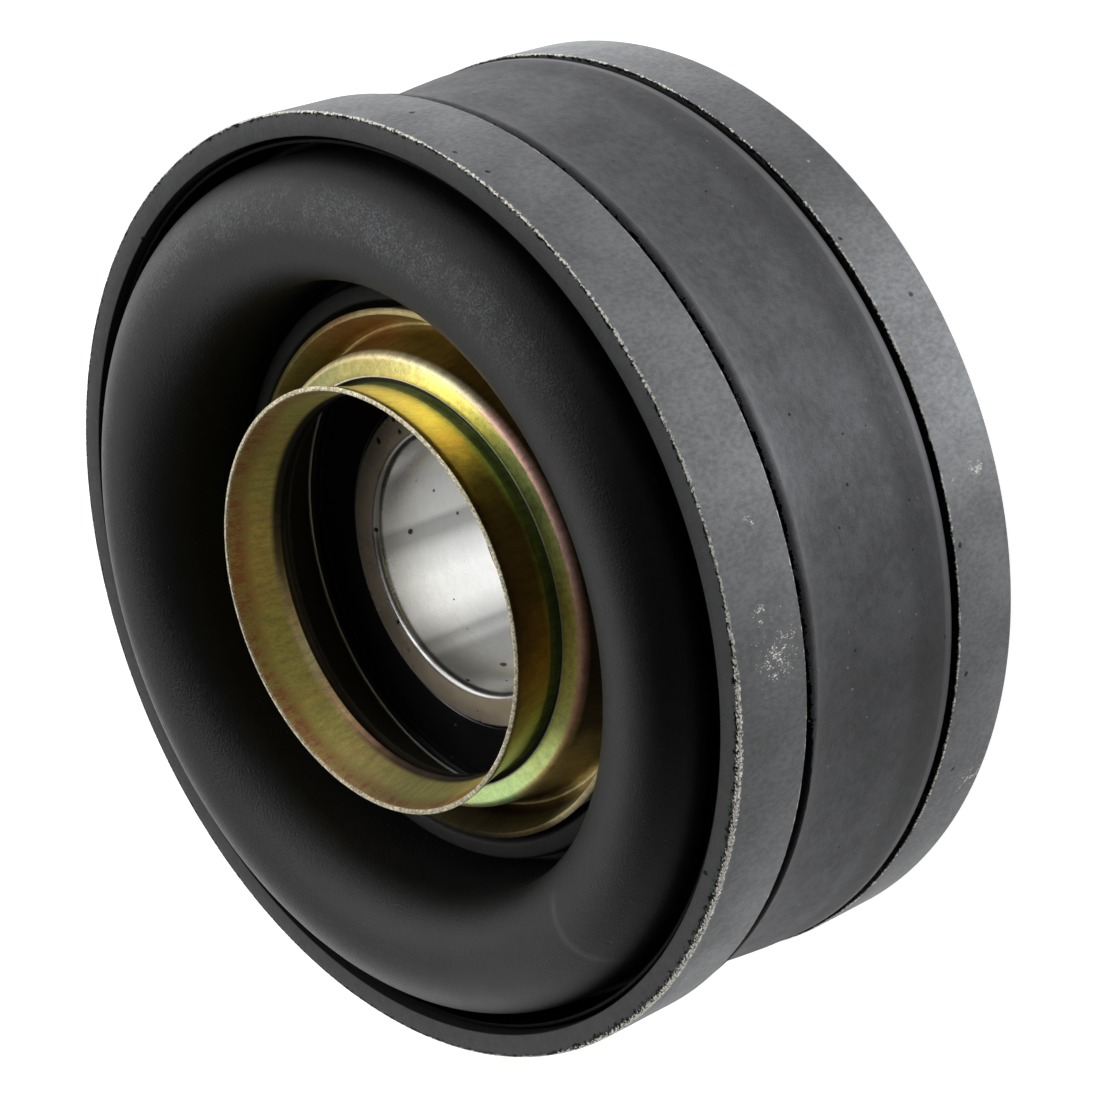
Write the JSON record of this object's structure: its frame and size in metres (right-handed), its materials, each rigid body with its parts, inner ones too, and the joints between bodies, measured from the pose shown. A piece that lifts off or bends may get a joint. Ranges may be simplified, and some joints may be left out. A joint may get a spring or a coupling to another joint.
{
  "type": "driveshaft centre bearing",
  "caption": "Sealed ball bearing held in a convoluted rubber cushion between two steel hoops, with flared dust collars, for the middle support of a two-piece driveshaft.",
  "frame": {"origin": "on the shaft axis, in the plane of the rear hoop's rear face, which the part stands on", "axes": "+Z along the shaft axis towards the front, where the long dust collar is; X and Y are any two square directions across it, with the first ball at +X"},
  "size_m": [0.1058, 0.1058, 0.0463],
  "materials": {
    "ring_paint": "thin dark grey paint over brushed steel, worn to bare metal at the front corner",
    "cushion_rubber": "satin moulded rubber",
    "sleeve_steel": "plain pressed steel",
    "yellow_zinc": "iridescent yellow zinc plating",
    "race_steel": "ground and polished bearing steel",
    "ball_steel": "polished steel",
    "cage_steel": "stamped steel strip",
    "seal_rubber": "glossy black moulded rubber"
  },
  "bodies": {
    "housing": {"front_outer_ring": "ring_paint", "rear_outer_ring": "ring_paint", "rubber_cushion": "cushion_rubber", "bearing_sleeve": "sleeve_steel", "front_shield_cup": "yellow_zinc", "rear_shield_cup": "yellow_zinc", "front_dust_collar": "yellow_zinc", "rear_dust_collar": "yellow_zinc", "outer_race": "race_steel", "front_seal": "seal_rubber", "rear_seal": "seal_rubber"},
    "inner_race": {"inner_race": "race_steel"},
    "cage": {"front_cage_half": "cage_steel", "rear_cage_half": "cage_steel", "cage_rivet_1": "cage_steel", "cage_rivet_2": "cage_steel", "cage_rivet_3": "cage_steel", "cage_rivet_4": "cage_steel", "cage_rivet_5": "cage_steel", "cage_rivet_6": "cage_steel", "cage_rivet_7": "cage_steel", "cage_rivet_8": "cage_steel", "cage_rivet_9": "cage_steel"},
    "ball_1": {"ball_1": "ball_steel"},
    "ball_2": {"ball_2": "ball_steel"},
    "ball_3": {"ball_3": "ball_steel"},
    "ball_4": {"ball_4": "ball_steel"},
    "ball_5": {"ball_5": "ball_steel"},
    "ball_6": {"ball_6": "ball_steel"},
    "ball_7": {"ball_7": "ball_steel"},
    "ball_8": {"ball_8": "ball_steel"},
    "ball_9": {"ball_9": "ball_steel"}
  },
  "joints": [
    {"name": "bearing_spin", "type": "hinge", "parent": "housing", "child": "inner_race", "pos_m": [0, 0, 0.0211], "axis": [0, 0, 1], "continuous": true},
    {"name": "cage_orbit", "type": "hinge", "parent": "housing", "child": "cage", "pos_m": [0, 0, 0.0211], "axis": [0, 0, 1], "continuous": true},
    {"name": "ball_1_roll", "type": "hinge", "parent": "cage", "child": "ball_1", "pos_m": [0.023, 0, 0.0211], "axis": [0, 0, 1], "continuous": true},
    {"name": "ball_2_roll", "type": "hinge", "parent": "cage", "child": "ball_2", "pos_m": [0.01762, 0.01478, 0.0211], "axis": [0, 0, 1], "continuous": true},
    {"name": "ball_3_roll", "type": "hinge", "parent": "cage", "child": "ball_3", "pos_m": [0.00399, 0.02265, 0.0211], "axis": [0, 0, 1], "continuous": true},
    {"name": "ball_4_roll", "type": "hinge", "parent": "cage", "child": "ball_4", "pos_m": [-0.0115, 0.01992, 0.0211], "axis": [0, 0, 1], "continuous": true},
    {"name": "ball_5_roll", "type": "hinge", "parent": "cage", "child": "ball_5", "pos_m": [-0.02161, 0.00787, 0.0211], "axis": [0, 0, 1], "continuous": true},
    {"name": "ball_6_roll", "type": "hinge", "parent": "cage", "child": "ball_6", "pos_m": [-0.02161, -0.00787, 0.0211], "axis": [0, 0, 1], "continuous": true},
    {"name": "ball_7_roll", "type": "hinge", "parent": "cage", "child": "ball_7", "pos_m": [-0.0115, -0.01992, 0.0211], "axis": [0, 0, 1], "continuous": true},
    {"name": "ball_8_roll", "type": "hinge", "parent": "cage", "child": "ball_8", "pos_m": [0.00399, -0.02265, 0.0211], "axis": [0, 0, 1], "continuous": true},
    {"name": "ball_9_roll", "type": "hinge", "parent": "cage", "child": "ball_9", "pos_m": [0.01762, -0.01478, 0.0211], "axis": [0, 0, 1], "continuous": true}
  ],
  "couplings": [
    {"joint": "cage_orbit", "follows": "bearing_spin", "ratio": 0.39647},
    {"joint": "ball_1_roll", "follows": "bearing_spin", "ratio": -2.3112},
    {"joint": "ball_2_roll", "follows": "bearing_spin", "ratio": -2.3112},
    {"joint": "ball_3_roll", "follows": "bearing_spin", "ratio": -2.3112},
    {"joint": "ball_4_roll", "follows": "bearing_spin", "ratio": -2.3112},
    {"joint": "ball_5_roll", "follows": "bearing_spin", "ratio": -2.3112},
    {"joint": "ball_6_roll", "follows": "bearing_spin", "ratio": -2.3112},
    {"joint": "ball_7_roll", "follows": "bearing_spin", "ratio": -2.3112},
    {"joint": "ball_8_roll", "follows": "bearing_spin", "ratio": -2.3112},
    {"joint": "ball_9_roll", "follows": "bearing_spin", "ratio": -2.3112}
  ]
}
